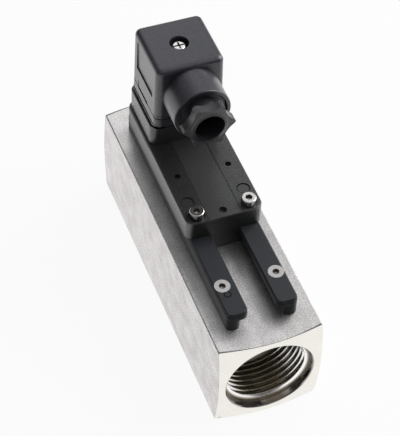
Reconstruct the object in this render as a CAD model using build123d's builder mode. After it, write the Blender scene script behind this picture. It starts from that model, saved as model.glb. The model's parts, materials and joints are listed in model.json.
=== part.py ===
from build123d import *
from math import cos, hypot, radians, sin, sqrt, tan
import os

os.makedirs("parts", exist_ok=True)

# Variable area flow switch, in millimetres.
# The pipe axis runs along Y, the flow goes towards +Y, Z is up,
# and the origin is the centre of the square body's bottom face.

# Fits and gaps
slide_gap = 0.1
shaft_gap = 0.05
thread_gap = 0.02
blade_gap = 0.08
loose_gap = 0.3

# Square flow body
body_width = 40.0
body_length = 130.0
body_edge = 0.4
end_face_radius = 19.75
end_slope = 15.0

# Pipe ports, G1 internal thread
port_mouth_radius = 17.0
port_mouth_chamfer = 0.4
port_counterbore = 2.6
port_thread_radius = 16.62
port_thread_length = 17.4

# Flow bore and what it holds
bore_radius = 13.5
bore_step = 0.5
shoulder_width = 1.0
groove_land = 0.8
groove_depth = 0.7
ring_thickness = 1.2
ring_width = 1.9
ring_lug = 1.5
ring_opening = 40.0
guide_rim = 2.2
guide_thickness = 5.0
guide_arm = 2.4
guide_arms = 3
hub_radius = 4.5
hub_length = 7.0
throat_radius = 9.3
throat_length = 6.0
cone_angle = 10.5
metering_length = 22.0
outlet_shoulder = 30.0

# Float, its guide rod and its spring
rod_radius = 2.5
rod_end = 0.6
nut_thickness = 3.0
nut_flats = 8.0
float_travel = 15.0
float_play = 0.1
float_edge = 2.0
float_nose = 2.5
float_nose_radius = 3.4
float_neck = 1.0
float_shank = 6.0
float_radius = 7.2
float_tube_radius = 4.2
sleeve_wall = 0.8
magnet_length = 8.0
magnet_count = 2
cap_thickness = 3.0
seat_thickness = 1.5
seat_radius = 5.0
spring_radius = 3.75
spring_wire = 0.45
spring_turns = 7

# Guide rails
rail_inner = 5.5
rail_outer = 13.75
rail_height = 8.0
rail_length = 109.6
rail_lip = 3.0
rail_overhang = 2.6
rail_corner = 2.6
rail_chamfer = 0.5
rail_band = 1.4
rail_band_inset = 0.15
rail_screw_x = 10.4
rail_screw_y = 40.4

# Countersunk rail screws, M3
m3_radius = 1.5
rail_screw_length = 12.0
rail_head_radius = 2.95
rail_socket = 2.0
rail_socket_depth = 1.3

# Deck of the switch housing
deck_front = -16.5
deck_back = 51.0
deck_width = 30.0
deck_height = 8.5
deck_corner = 3.2
deck_edge = 0.45
deck_wall = 2.0
deck_roof = 2.2
strip_width = 12.8
strip_depth = 0.2
ejector_radius = 2.4
ejector_depth = 0.3
ejector_x = 11.0
ejector_y = -5.8
peg_hole_radius = 1.2
peg_hole_x = 10.1
peg_hole_y = 7.6
nose_hole_radius = 1.55
nose_hole_y = -13.2
blind_depth = 1.6

# Connector tower on the deck
tower_front = 25.4
tower_back = 50.6
tower_width = 28.3
tower_height = 9.1
tower_corner = 3.0
tower_wall = 2.2
tower_roof = 6.3
tower_edge = 0.4

# Clamp screws, M3 cap screws with washers
clamp_x = 10.2
clamp_y = -13.0
clamp_recess_radius = 3.25
clamp_recess = 0.7
clamp_boss_radius = 3.0
washer_radius = 3.05
washer_thickness = 0.5
cap_head_radius = 2.75
cap_head_height = 3.0
cap_socket = 2.5
cap_socket_depth = 1.5
cap_head_edge = 0.3
clamp_length = 8.0

# Clamp block and base plate under the housing
clamp_depth = 8.8
clamp_wing = 3.0
clamp_wing_reach = 1.9
keel_floor_gap = 0.3
base_thickness = 1.6
base_gap = 0.4
trough_half = 4.1
trough_floor = 1.2
trough_front = 1.6
trough_length = 38.0

# Reed contact on its board
board_width = 7.2
board_length = 34.0
board_thickness = 1.0
reed_radius = 1.2
reed_length = 14.0
reed_lead = 0.3
reed_pitch = 22.0
wire_radius = 0.55
wire_spacing = 2.2
wire_bend = 1.6

# Contact blades and their nut in the tower
plug_middle = 35.75
blade_offset = 9.0
blade_width = 6.3
blade_thickness = 0.8
blade_height = 11.0
blade_tail = 1.9
insert_radius = 2.6
insert_length = 5.3
insert_sink = 0.5

# Profile gasket between tower and plug
gasket_width = 27.0
gasket_depth = 25.4
gasket_back = 49.8
gasket_thickness = 2.9
gasket_corner = 2.8
gasket_rim = 2.3
gasket_web = 0.8
gasket_grooves = 2
gasket_groove = 0.45
gasket_groove_depth = 0.35

# Plug housing
plug_width = 27.2
plug_height = 27.7
plug_draft = 1.1
plug_corner = 3.0
plug_top_round = 2.1
plug_wall = 1.9
plug_roof = 2.3
plug_seam_height = 3.8
plug_seam = 0.5
screw_recess_radius = 3.65
screw_recess_wall = 1.3
screw_floor = 1.5
panel_length = 17.0
panel_height = 13.0
panel_middle = 18.2
panel_depth = 0.35

# Cable barrel of the plug
barrel_radius = 11.0
barrel_length = 12.0
barrel_rise = 15.05
barrel_lip = 0.4
barrel_thread_radius = 9.3
barrel_chamfer = 0.4
barrel_depth = 10.35
cable_hole_radius = 5.5

# Terminal block inside the plug
block_lift = 0.6
block_height = 9.8
contact_width = 7.0
contact_inner = 4.9
contact_outer = 10.2
contact_height = 9.0
terminal_screw_circle = 6.5
terminal_shank = 1.2
terminal_head_radius = 1.9
terminal_head = 1.5
terminal_length = 5.0
terminal_slot = 0.6

# Central fixing screw of the plug, M3
fixing_head_radius = 2.6
fixing_head = 2.0
fixing_head_round = 0.7
fixing_sink = 1.3
fixing_length = 33.0
fixing_slot = 0.75
seal_radius = 3.2
seal_thickness = 0.8

# Cable gland
nut_reach = 7.65
nut_hex = 17.6
nut_flute_radius = 9.0
nut_flute = 0.9
nut_thread_length = 2.6
nut_neck_radius = 7.1
nut_gap = 3.6
nut_insert = 3.85
nut_bore_radius = 5.7
nut_lip_radius = 7.3
nut_lip = 0.5
gland_washer = 1.0
gland_ring_radius = 9.0
grommet_hole_radius = 4.6
grommet_taper = 1.0

# Places worked out from the sizes above
half_length = body_length / 2
axis_height = body_width / 2
rail_top = body_width + rail_height
deck_bottom = rail_top + slide_gap
deck_top = deck_bottom + deck_height
deck_length = deck_back - deck_front
deck_middle = (deck_back + deck_front) / 2
tower_top = deck_top + tower_height
tower_middle = (tower_front + tower_back) / 2
tower_ceiling = tower_top - tower_roof
gasket_top = tower_top + gasket_thickness
gasket_middle = gasket_back - gasket_depth / 2
plug_top = gasket_top + plug_height
barrel_height = gasket_top + barrel_rise
barrel_front = plug_middle - plug_width / 2 - barrel_length
barrel_floor = barrel_front + barrel_depth
nut_front = barrel_front - nut_reach
nut_end = barrel_front + nut_insert
hang = (Align.CENTER, Align.CENTER, Align.MAX)
stand = (Align.CENTER, Align.CENTER, Align.MIN)

# Working planes: across the flow, and the half section along it for turned pieces
across = Plane(origin=(0, 0, axis_height), x_dir=(-1, 0, 0), z_dir=(0, 1, 0))
section = Plane(origin=(0, 0, axis_height), x_dir=(0, 1, 0), z_dir=(1, 0, 0))
flow_axis = Axis((0, 0, axis_height), (0, 1, 0))
gland_across = Plane(origin=(0, 0, barrel_height), x_dir=(-1, 0, 0), z_dir=(0, 1, 0))
gland_section = Plane(origin=(0, 0, barrel_height), x_dir=(0, 1, 0), z_dir=(1, 0, 0))
gland_axis = Axis((0, 0, barrel_height), (0, 1, 0))


def save(piece, name):
    """Label a finished piece and write it out under its own name."""
    piece.part.label = name
    export_step(piece.part, f"parts/{name}.step")


# Flow bore, stage by stage from the inlet
thread_start = half_length - port_counterbore
thread_end = thread_start - port_thread_length
bore_start = -thread_end + (port_thread_radius - bore_radius)
ring_front = bore_start + groove_land
guide_front = ring_front + ring_thickness
metering_front = guide_front + guide_thickness
metering_back = metering_front + metering_length
outlet_radius = bore_radius - bore_step
exit_radius = outlet_radius - shoulder_width
ring_groove_radius = bore_radius + groove_depth
bore_end = thread_end - (port_thread_radius - exit_radius)

rail_screw_spots = [(x, y) for x in (-rail_screw_x, rail_screw_x) for y in (-rail_screw_y, rail_screw_y)]

with BuildPart() as flow_body:
    with BuildSketch(across.offset(-half_length)):
        Rectangle(body_width, body_width)
    extrude(amount=body_length)
    chamfer(flow_body.edges().filter_by(Axis.Y), body_edge)
    # The ends are turned, so the corners fall back along a shallow cone
    end_reach = body_width
    end_fall = (end_reach - end_face_radius) * tan(radians(end_slope))
    with BuildSketch(section):
        Polygon(
            (-half_length, 0),
            (-half_length, end_face_radius),
            (-half_length + end_fall, end_reach),
            (half_length - end_fall, end_reach),
            (half_length, end_face_radius),
            (half_length, 0),
            align=None,
        )
    revolve(axis=flow_axis, mode=Mode.INTERSECT)
    with BuildSketch(section):
        Polygon(
            (-half_length, 0),
            (-half_length, port_mouth_radius + port_mouth_chamfer),
            (-half_length + port_mouth_chamfer, port_mouth_radius),
            (-thread_start, port_mouth_radius),
            (-thread_start, port_thread_radius),
            (-thread_end, port_thread_radius),
            (bore_start, bore_radius),
            (ring_front, bore_radius),
            (ring_front, ring_groove_radius),
            (guide_front, ring_groove_radius),
            (guide_front, bore_radius),
            (metering_back, bore_radius),
            (metering_back, outlet_radius),
            (outlet_shoulder, outlet_radius),
            (outlet_shoulder, exit_radius),
            (bore_end, exit_radius),
            (thread_end, port_thread_radius),
            (thread_start, port_thread_radius),
            (thread_start, port_mouth_radius),
            (half_length - port_mouth_chamfer, port_mouth_radius),
            (half_length, port_mouth_radius + port_mouth_chamfer),
            (half_length, 0),
            align=None,
        )
    revolve(axis=flow_axis, mode=Mode.SUBTRACT)
    with Locations(*[(x, y, body_width) for x, y in rail_screw_spots]):
        Hole(m3_radius, rail_screw_length - rail_height + loose_gap)
save(flow_body, "flow_body")

# Retaining ring in its groove, with the two lugs that the pliers take
ring_outer = ring_groove_radius - slide_gap
ring_inner = ring_outer - ring_width
with BuildPart() as retaining_ring:
    with BuildSketch(across.offset(ring_front)):
        Circle(ring_outer)
        Circle(ring_inner, mode=Mode.SUBTRACT)
        opening_half = radians(ring_opening / 2)
        wedge = 2 * ring_outer
        Polygon(
            (0, 0),
            (-wedge * sin(opening_half), wedge * cos(opening_half)),
            (wedge * sin(opening_half), wedge * cos(opening_half)),
            align=None,
            mode=Mode.SUBTRACT,
        )
        lug_turn = radians(90 - ring_opening / 2) - ring_lug / ring_inner
        lug_at = ring_inner + ring_width / 2 - ring_lug / 2
        for side in (-1, 1):
            with Locations((side * lug_at * cos(lug_turn), lug_at * sin(lug_turn))):
                Circle(ring_lug)
                Circle(ring_lug / 3, mode=Mode.SUBTRACT)
    extrude(amount=ring_thickness)
save(retaining_ring, "retaining_ring")


def spider(rim_radius):
    """Draw a guide's rim and arms in the sketch that is open."""
    Circle(rim_radius)
    Circle(rim_radius - guide_rim, mode=Mode.SUBTRACT)
    with PolarLocations(0, guide_arms, start_angle=90):
        Rectangle(rim_radius - guide_rim / 2, guide_arm, align=(Align.MIN, Align.CENTER))


# Guides that carry the rod on the flow axis
with BuildPart() as inlet_guide:
    with BuildSketch(across.offset(guide_front)):
        spider(bore_radius)
    extrude(amount=guide_thickness)
    with BuildSketch(across.offset(guide_front)):
        Circle(hub_radius)
    extrude(amount=hub_length)
    with BuildSketch(across.offset(guide_front)):
        Circle(rod_radius)
    extrude(amount=hub_length, mode=Mode.SUBTRACT)
    chamfer(inlet_guide.faces().sort_by(Axis.Y)[-1].outer_wire().edges(), hub_radius / 8)
save(inlet_guide, "inlet_guide")

outlet_hub_front = outlet_shoulder - hub_length
with BuildPart() as outlet_guide:
    with BuildSketch(across.offset(outlet_shoulder - guide_thickness)):
        spider(outlet_radius)
    extrude(amount=guide_thickness)
    with BuildSketch(across.offset(outlet_hub_front)):
        Circle(hub_radius)
    extrude(amount=hub_length)
    with BuildSketch(across.offset(outlet_hub_front)):
        Circle(rod_radius)
    extrude(amount=hub_length, mode=Mode.SUBTRACT)
    chamfer(outlet_guide.faces().sort_by(Axis.Y)[-1].outer_wire().edges(), guide_rim / 8)
save(outlet_guide, "outlet_guide")

# Metering ring, whose bore opens in a cone so that the gap round the float grows
cone_start = metering_front + throat_length
cone_radius = throat_radius + (metering_back - cone_start) * tan(radians(cone_angle))
with BuildPart() as metering_ring:
    with BuildSketch(section):
        Polygon(
            (metering_front, throat_radius),
            (cone_start, throat_radius),
            (metering_back, min(cone_radius, bore_radius - ring_lug / 3)),
            (metering_back, bore_radius),
            (metering_front, bore_radius),
            align=None,
        )
    revolve(axis=flow_axis)
    chamfer(metering_ring.faces().sort_by(Axis.Y)[0].inner_wires()[0].edges(), guide_rim / 4)
save(metering_ring, "metering_ring")

# Guide rod with a nut at each end
rod_front = guide_front - nut_thickness - rod_end
rod_back = outlet_shoulder + nut_thickness + rod_end
with BuildPart() as guide_rod:
    with BuildSketch(across.offset(rod_front)):
        Circle(rod_radius)
    extrude(amount=rod_back - rod_front)
    chamfer(guide_rod.edges().filter_by(GeomType.CIRCLE), rod_end / 2)
save(guide_rod, "guide_rod")

with BuildPart() as rod_nuts:
    for nut_face in (guide_front - nut_thickness, outlet_shoulder):
        with BuildSketch(across.offset(nut_face)):
            RegularPolygon(nut_flats / 2, 6, major_radius=False)
            Circle(rod_radius + thread_gap, mode=Mode.SUBTRACT)
        extrude(amount=nut_thickness)
save(rod_nuts, "rod_nuts")

# Float: head with its edge, tube, magnets, sleeve and cap
float_front = guide_front + hub_length
edge_front = float_front + float_nose
edge_back = edge_front + float_edge
collar_front = edge_back + float_neck
magnets_front = collar_front + float_shank
magnets_back = magnets_front + magnet_length * magnet_count
float_back = magnets_back + cap_thickness
float_bore = rod_radius + shaft_gap
with BuildPart() as float_head:
    with BuildSketch(section):
        Polygon(
            (float_front, float_bore),
            (float_front, float_nose_radius),
            (edge_front, throat_radius - float_play),
            (edge_back, throat_radius - float_play),
            (collar_front, float_radius),
            (magnets_front, float_radius),
            (magnets_front, float_tube_radius),
            (float_back, float_tube_radius),
            (float_back, float_bore),
            align=None,
        )
    revolve(axis=flow_axis)
save(float_head, "float_head")

with BuildPart() as float_magnets:
    for number in range(magnet_count):
        with BuildSketch(across.offset(magnets_front + number * magnet_length)):
            Circle(float_radius - sleeve_wall)
            Circle(float_tube_radius, mode=Mode.SUBTRACT)
        extrude(amount=magnet_length - slide_gap)
save(float_magnets, "float_magnets")

with BuildPart() as magnet_sleeve:
    with BuildSketch(across.offset(magnets_front)):
        Circle(float_radius)
        Circle(float_radius - sleeve_wall, mode=Mode.SUBTRACT)
    extrude(amount=magnets_back - magnets_front)
save(magnet_sleeve, "magnet_sleeve")

with BuildPart() as float_cap:
    with BuildSketch(across.offset(magnets_back)):
        Circle(float_radius)
        Circle(float_tube_radius, mode=Mode.SUBTRACT)
    extrude(amount=cap_thickness)
    chamfer(float_cap.faces().sort_by(Axis.Y)[-1].outer_wire().edges(), cap_thickness / 4)
save(float_cap, "float_cap")

seat_front = outlet_hub_front - seat_thickness
with BuildPart() as spring_seat:
    with BuildSketch(across.offset(seat_front)):
        Circle(seat_radius)
        Circle(rod_radius + shaft_gap, mode=Mode.SUBTRACT)
    extrude(amount=seat_thickness)
save(spring_seat, "spring_seat")

# Return spring between the float and the seat, drawn at its closed-float length
spring_front = float_back + spring_wire
spring_span = seat_front - spring_wire - spring_front
with BuildPart() as return_spring:
    with BuildLine() as coil:
        Helix(
            pitch=spring_span / spring_turns,
            height=spring_span,
            radius=spring_radius,
            center=(0, spring_front, axis_height),
            direction=(0, 1, 0),
        )
    with BuildSketch(Plane(origin=coil.line @ 0, z_dir=coil.line % 0)):
        Circle(spring_wire)
    sweep(path=coil.line)
save(return_spring, "return_spring")

# Guide rails: a foot, a lip that overhangs it on the inner side, and a narrow top band
foot_inner = rail_inner + rail_overhang
foot_width = rail_outer - foot_inner
foot_height = rail_height - rail_lip
lip_width = rail_outer - rail_inner
for side, name in ((-1, "rail_left"), (1, "rail_right")):
    with BuildPart() as rail:
        with BuildSketch(Plane.XY.offset(body_width)):
            with Locations((side * (rail_outer - foot_width / 2), 0)):
                RectangleRounded(foot_width, rail_length, min(rail_corner, foot_width * 0.46))
        extrude(amount=foot_height)
        with BuildSketch(Plane.XY.offset(body_width + foot_height)):
            with Locations((side * (rail_outer - lip_width / 2), 0)):
                RectangleRounded(lip_width, rail_length, rail_corner)
        extrude(amount=rail_lip - rail_band)
        with BuildSketch(Plane.XY.offset(rail_top - rail_band)):
            with Locations((side * (rail_outer - lip_width / 2 - rail_band_inset / 2), 0)):
                RectangleRounded(lip_width - rail_band_inset, rail_length - 2 * rail_band_inset, rail_corner)
        extrude(amount=rail_band)
        chamfer(rail.faces().sort_by(Axis.Z)[-1].outer_wire().edges(), rail_chamfer)
        for screw_y in (-rail_screw_y, rail_screw_y):
            with Locations((side * rail_screw_x, screw_y, rail_top)):
                CounterSinkHole(m3_radius + slide_gap, rail_head_radius, rail_height, 90)
    save(rail, name)

with BuildPart() as rail_screws:
    with Locations(*[(x, y, rail_top) for x, y in rail_screw_spots]):
        Cone(m3_radius - thread_gap, rail_head_radius, rail_head_radius - m3_radius + thread_gap, align=hang)
        Cylinder(m3_radius - thread_gap, rail_screw_length, align=hang)
    with BuildSketch(Plane.XY.offset(rail_top)):
        with Locations(*rail_screw_spots):
            RegularPolygon(rail_socket / 2, 6, major_radius=False)
    extrude(amount=-rail_socket_depth, mode=Mode.SUBTRACT)
save(rail_screws, "rail_screws")

# Switch housing: a low deck with the connector tower at its back end
clamp_spots = [(-clamp_x, clamp_y), (clamp_x, clamp_y)]
cavity_width = deck_width - 2 * deck_wall
cavity_front = deck_front + deck_wall
cavity_back = deck_back - deck_wall
deck_ceiling = deck_top - deck_roof
wing_bottom = rail_top + slide_gap
wing_top = wing_bottom + clamp_wing
washer_bottom = deck_top - clamp_recess
tower_cavity_front = tower_front + tower_wall
tower_cavity_back = tower_back - tower_wall
blade_places = [
    (-blade_offset, plug_middle, 90),
    (blade_offset, plug_middle, 90),
    (0, plug_middle + blade_offset, 0),
]
with BuildPart() as switch_housing:
    with BuildSketch(Plane.XY.offset(deck_bottom)):
        with Locations((0, deck_middle)):
            RectangleRounded(deck_width, deck_length, deck_corner)
    extrude(amount=deck_height)
    fillet(switch_housing.faces().sort_by(Axis.Z)[-1].outer_wire().edges(), deck_edge)
    with BuildSketch(Plane.XY.offset(deck_top - deck_roof / 2)):
        with Locations((0, tower_middle)):
            RectangleRounded(tower_width, tower_back - tower_front, tower_corner)
    extrude(amount=tower_height + deck_roof / 2)
    fillet(switch_housing.faces().sort_by(Axis.Z)[-1].outer_wire().edges(), tower_edge)
    # Hollow underside, and the cavity that runs up into the tower
    with BuildSketch(Plane.XY.offset(deck_bottom)):
        with Locations((0, deck_middle)):
            RectangleRounded(cavity_width, cavity_back - cavity_front, deck_corner - deck_wall)
    extrude(amount=deck_height - deck_roof, mode=Mode.SUBTRACT)
    with BuildSketch(Plane.XY.offset(deck_ceiling)):
        with Locations((0, (tower_cavity_front + tower_cavity_back) / 2)):
            Rectangle(tower_width - 2 * tower_wall, tower_cavity_back - tower_cavity_front)
    extrude(amount=tower_ceiling - deck_ceiling, mode=Mode.SUBTRACT)
    # Bosses that the clamp screws pull against
    with BuildSketch(Plane.XY.offset(wing_top + loose_gap)):
        with Locations(*clamp_spots):
            Circle(clamp_boss_radius)
    extrude(amount=deck_top - clamp_recess - deck_edge - wing_top - loose_gap)
    with Locations(*[(x, y, deck_top) for x, y in clamp_spots]):
        CounterBoreHole(m3_radius + slide_gap, clamp_recess_radius, clamp_recess, deck_height)
    # Label strip, moulding marks and blind holes of the deck
    with BuildSketch(Plane.XY.offset(deck_top)):
        with Locations((0, (deck_front + tower_front) / 2)):
            Rectangle(strip_width, tower_front - deck_front)
    extrude(amount=-strip_depth, mode=Mode.SUBTRACT)
    with Locations((-ejector_x, ejector_y, deck_top), (ejector_x, ejector_y, deck_top)):
        Hole(ejector_radius, ejector_depth)
    with Locations((-peg_hole_x, peg_hole_y, deck_top), (peg_hole_x, peg_hole_y, deck_top)):
        Hole(peg_hole_radius, blind_depth)
    with Locations((0, nose_hole_y, deck_top)):
        Hole(nose_hole_radius, blind_depth)
    # Blade slots and the seat of the threaded insert
    with BuildSketch(Plane.XY.offset(tower_ceiling)):
        for blade_x, blade_y, turn in blade_places:
            with Locations(Location((blade_x, blade_y), turn)):
                Rectangle(blade_width, blade_thickness)
    extrude(amount=tower_roof, mode=Mode.SUBTRACT)
    with Locations((0, plug_middle, tower_top)):
        CounterBoreHole(m3_radius + slide_gap, insert_radius, insert_sink + insert_length, tower_roof)
save(switch_housing, "switch_housing")

with BuildPart() as threaded_insert:
    with BuildSketch(Plane.XY.offset(tower_top - insert_sink - insert_length)):
        with Locations((0, plug_middle)):
            Circle(insert_radius)
            Circle(m3_radius + shaft_gap, mode=Mode.SUBTRACT)
    extrude(amount=insert_length)
save(threaded_insert, "threaded_insert")

# T-shaped keel section that runs between the rails and hooks under their lips
keel_bottom = body_width + keel_floor_gap
keel_stem = 2 * (rail_inner - slide_gap)
keel_foot = 2 * (foot_inner - slide_gap)
foot_top = body_width + foot_height - slide_gap


def keel_section():
    """Draw the keel's T in the open sketch, which lies across the flow."""
    with Locations((0, (keel_bottom + foot_top) / 2 - axis_height)):
        Rectangle(keel_foot, foot_top - keel_bottom)
    with Locations((0, (foot_top + wing_bottom) / 2 - axis_height)):
        Rectangle(keel_stem, wing_bottom - foot_top)


clamp_front = deck_front + slide_gap
with BuildPart() as clamp_block:
    with BuildSketch(across.offset(clamp_front)):
        keel_section()
    extrude(amount=clamp_depth)
    with BuildSketch(Plane.XY.offset(wing_bottom)):
        with Locations((0, (cavity_front + slide_gap + clamp_front + clamp_depth) / 2)):
            Rectangle(2 * (clamp_x + clamp_wing_reach), clamp_front + clamp_depth - cavity_front - slide_gap)
    extrude(amount=clamp_wing)
    with Locations(*[(x, y, wing_top) for x, y in clamp_spots]):
        Hole(m3_radius + shaft_gap, clamp_wing)
save(clamp_block, "clamp_block")

base_front = clamp_front + clamp_depth + base_gap
trough_start = base_front + trough_front
with BuildPart() as housing_base:
    with BuildSketch(across.offset(base_front)):
        keel_section()
    extrude(amount=cavity_back - base_front)
    with BuildSketch(Plane.XY.offset(deck_bottom)):
        with Locations((0, (base_front + cavity_back) / 2)):
            Rectangle(cavity_width, cavity_back - base_front)
    extrude(amount=base_thickness)
    fillet(
        housing_base.edges().filter_by(Axis.Z).group_by(Axis.Y)[-1].group_by(SortBy.LENGTH)[0],
        deck_corner - deck_wall,
    )
    with BuildSketch(Plane.XY.offset(keel_bottom + trough_floor)):
        with Locations((0, trough_start)):
            Rectangle(2 * trough_half, trough_length, align=(Align.CENTER, Align.MIN))
    extrude(amount=deck_bottom + base_thickness - keel_bottom, mode=Mode.SUBTRACT)
save(housing_base, "housing_base")

# Reed contact on its board, at the bottom of the keel close to the flow body
board_bottom = keel_bottom + trough_floor
board_top = board_bottom + board_thickness
board_front = trough_start + slide_gap
with BuildPart() as reed_board:
    with BuildSketch(Plane.XY.offset(board_bottom)):
        with Locations((0, board_front)):
            Rectangle(board_width, board_length, align=(Align.CENTER, Align.MIN))
    extrude(amount=board_thickness)
save(reed_board, "reed_board")

reed_middle = board_front + (reed_pitch / 2) + wire_bend
reed_height = board_top + reed_radius
with BuildPart() as reed_glass:
    with BuildSketch(Plane.XZ.offset(-(reed_middle - reed_length / 2))):
        with Locations((0, reed_height)):
            Circle(reed_radius)
    extrude(amount=-reed_length)
    fillet(reed_glass.edges().filter_by(GeomType.CIRCLE), reed_radius * 0.7)
save(reed_glass, "reed_glass")

with BuildPart() as reed_leads:
    for side in (-1, 1):
        lead_start = (0, reed_middle + side * reed_length / 2, reed_height)
        lead_turn = (0, reed_middle + side * reed_pitch / 2, reed_height)
        lead_foot = (0, reed_middle + side * reed_pitch / 2, board_top)
        with BuildLine() as lead_path:
            FilletPolyline(lead_start, lead_turn, lead_foot, radius=reed_radius / 2)
        with BuildSketch(Plane(origin=lead_start, z_dir=(0, side, 0))):
            Circle(reed_lead)
        sweep(path=lead_path.line)
save(reed_leads, "reed_leads")

# Wires from the board up to the tails of the two signal blades
wire_foot_y = board_front + board_length - wire_spacing
blade_bottom = tower_ceiling - blade_tail
with BuildPart() as signal_wires:
    for side in (-1, 1):
        wire_low = (side * wire_spacing, wire_foot_y, board_top)
        wire_rise = (side * wire_spacing, wire_foot_y, wing_top)
        wire_under = (side * blade_offset, plug_middle, wing_top + wire_bend)
        wire_top = (side * blade_offset, plug_middle, blade_bottom)
        with BuildLine() as wire_path:
            FilletPolyline(wire_low, wire_rise, wire_under, wire_top, radius=wire_bend)
        with BuildSketch(Plane(origin=wire_low, z_dir=(0, 0, 1))):
            Circle(wire_radius)
        sweep(path=wire_path.line)
save(signal_wires, "signal_wires")

# Flat contact blades that stand out of the tower
blade_top = tower_top + blade_height
for name, places in (("contact_blades", blade_places[:2]), ("earth_blade", blade_places[2:])):
    with BuildPart() as blades:
        with BuildSketch(Plane.XY.offset(blade_bottom)):
            for blade_x, blade_y, turn in places:
                with Locations(Location((blade_x, blade_y), turn)):
                    Rectangle(blade_width, blade_thickness)
        extrude(amount=blade_top - blade_bottom)
        chamfer(blades.edges().group_by(Axis.Z)[-1], blade_thickness * 0.3)
    save(blades, name)

# Profile gasket: an outer rim, and a web with openings for the blades and the screw
with BuildPart() as profile_gasket:
    with BuildSketch(Plane.XY.offset(tower_top)):
        with Locations((0, gasket_middle)):
            RectangleRounded(gasket_width, gasket_depth, gasket_corner)
    extrude(amount=gasket_thickness)
    with BuildSketch(Plane.XY.offset(tower_top + gasket_web)):
        with Locations((0, gasket_middle)):
            RectangleRounded(gasket_width - 2 * gasket_rim, gasket_depth - 2 * gasket_rim, gasket_corner / 2)
    extrude(amount=gasket_thickness, mode=Mode.SUBTRACT)
    with BuildSketch(Plane.XY.offset(tower_top)):
        for blade_x, blade_y, turn in blade_places:
            with Locations(Location((blade_x, blade_y), turn)):
                Rectangle(blade_width + loose_gap, blade_thickness + loose_gap)
        with Locations((0, plug_middle)):
            Circle(insert_radius + loose_gap)
    extrude(amount=gasket_web, mode=Mode.SUBTRACT)
    # Grooves round the outside leave the sealing ribs
    for number in range(gasket_grooves):
        groove_middle = tower_top + gasket_thickness * (number + 1) / (gasket_grooves + 1)
        with BuildSketch(Plane.XY.offset(groove_middle - gasket_groove / 2)):
            with Locations((0, gasket_middle)):
                Rectangle(gasket_width * 1.2, gasket_depth * 1.2)
                RectangleRounded(
                    gasket_width - 2 * gasket_groove_depth,
                    gasket_depth - 2 * gasket_groove_depth,
                    gasket_corner - gasket_groove_depth,
                    mode=Mode.SUBTRACT,
                )
        extrude(amount=gasket_groove, mode=Mode.SUBTRACT)
save(profile_gasket, "profile_gasket")

# Plug housing: a tapered square cover with the cable barrel on its front
plug_half = plug_width / 2
lean = tan(radians(plug_draft))
cavity_half = plug_half - plug_wall - lean * plug_height
head_top = plug_top - fixing_sink
head_bottom = head_top - fixing_head
recess_floor = head_bottom - seal_thickness
panel_face = plug_half - lean * panel_middle
with BuildPart() as plug_housing:
    with BuildSketch(Plane.XY.offset(gasket_top)):
        with Locations((0, plug_middle)):
            RectangleRounded(plug_width, plug_width, plug_corner)
    extrude(amount=plug_height, taper=plug_draft)
    fillet(plug_housing.faces().sort_by(Axis.Z)[-1].outer_wire().edges(), plug_top_round)
    # Seam line that runs round the cover above its skirt
    with BuildSketch(Plane.XY.offset(gasket_top + plug_seam_height)):
        with Locations((0, plug_middle)):
            Rectangle(plug_width * 1.2, plug_width * 1.2)
            RectangleRounded(
                plug_width - 2 * plug_seam - 2 * lean * plug_seam_height,
                plug_width - 2 * plug_seam - 2 * lean * plug_seam_height,
                plug_corner - plug_seam,
                mode=Mode.SUBTRACT,
            )
    extrude(amount=plug_seam, mode=Mode.SUBTRACT)
    with BuildSketch(gland_across.offset(barrel_front)):
        Circle(barrel_radius)
    extrude(amount=plug_middle - plug_half + plug_corner - barrel_front)
    fillet(
        plug_housing.edges().filter_by(GeomType.CIRCLE).group_by(Axis.Y)[0],
        barrel_lip,
    )
    with BuildSketch(Plane.XY.offset(gasket_top)):
        with Locations((0, plug_middle)):
            RectangleRounded(2 * cavity_half, 2 * cavity_half, plug_corner - plug_wall / 2)
    extrude(amount=plug_height - plug_roof, mode=Mode.SUBTRACT)
    # Well for the fixing screw, hanging from the roof
    with BuildSketch(Plane.XY.offset(recess_floor - screw_floor)):
        with Locations((0, plug_middle)):
            Circle(screw_recess_radius + screw_recess_wall)
    extrude(amount=plug_top - plug_roof / 2 - recess_floor + screw_floor)
    with Locations((0, plug_middle, plug_top)):
        CounterBoreHole(m3_radius + slide_gap, screw_recess_radius, plug_top - recess_floor, plug_height / 2)
    # Cable way through the barrel
    with BuildSketch(gland_section):
        Polygon(
            (barrel_front, 0),
            (barrel_front, barrel_thread_radius + barrel_chamfer),
            (barrel_front + barrel_chamfer, barrel_thread_radius),
            (barrel_floor, barrel_thread_radius),
            (barrel_floor, cable_hole_radius),
            (plug_middle - cavity_half + slide_gap, cable_hole_radius),
            (plug_middle - cavity_half + slide_gap, 0),
            align=None,
        )
    revolve(axis=gland_axis, mode=Mode.SUBTRACT)
    # Shallow blank panel on the left side
    with BuildSketch(Plane.YZ.offset(-panel_face)):
        with Locations((plug_middle, gasket_top + panel_middle)):
            Rectangle(panel_length, panel_height)
    extrude(amount=panel_depth, both=True, mode=Mode.SUBTRACT)
save(plug_housing, "plug_housing")

# Terminal block with its contacts and their screws
block_half = cavity_half - slide_gap
block_bottom = gasket_top + block_lift
block_top = block_bottom + block_height
contact_middle = (contact_inner + contact_outer) / 2
contact_depth = contact_outer - contact_inner
contact_bottom = block_bottom + loose_gap
contact_top = contact_bottom + contact_height
contact_turns = (90, 180, 0)


def on_contacts(radius):
    """Places at one radius on the three contacts, each turned to face outwards."""
    return [
        Location((radius * cos(radians(turn)), plug_middle + radius * sin(radians(turn))), turn)
        for turn in contact_turns
    ]


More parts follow.
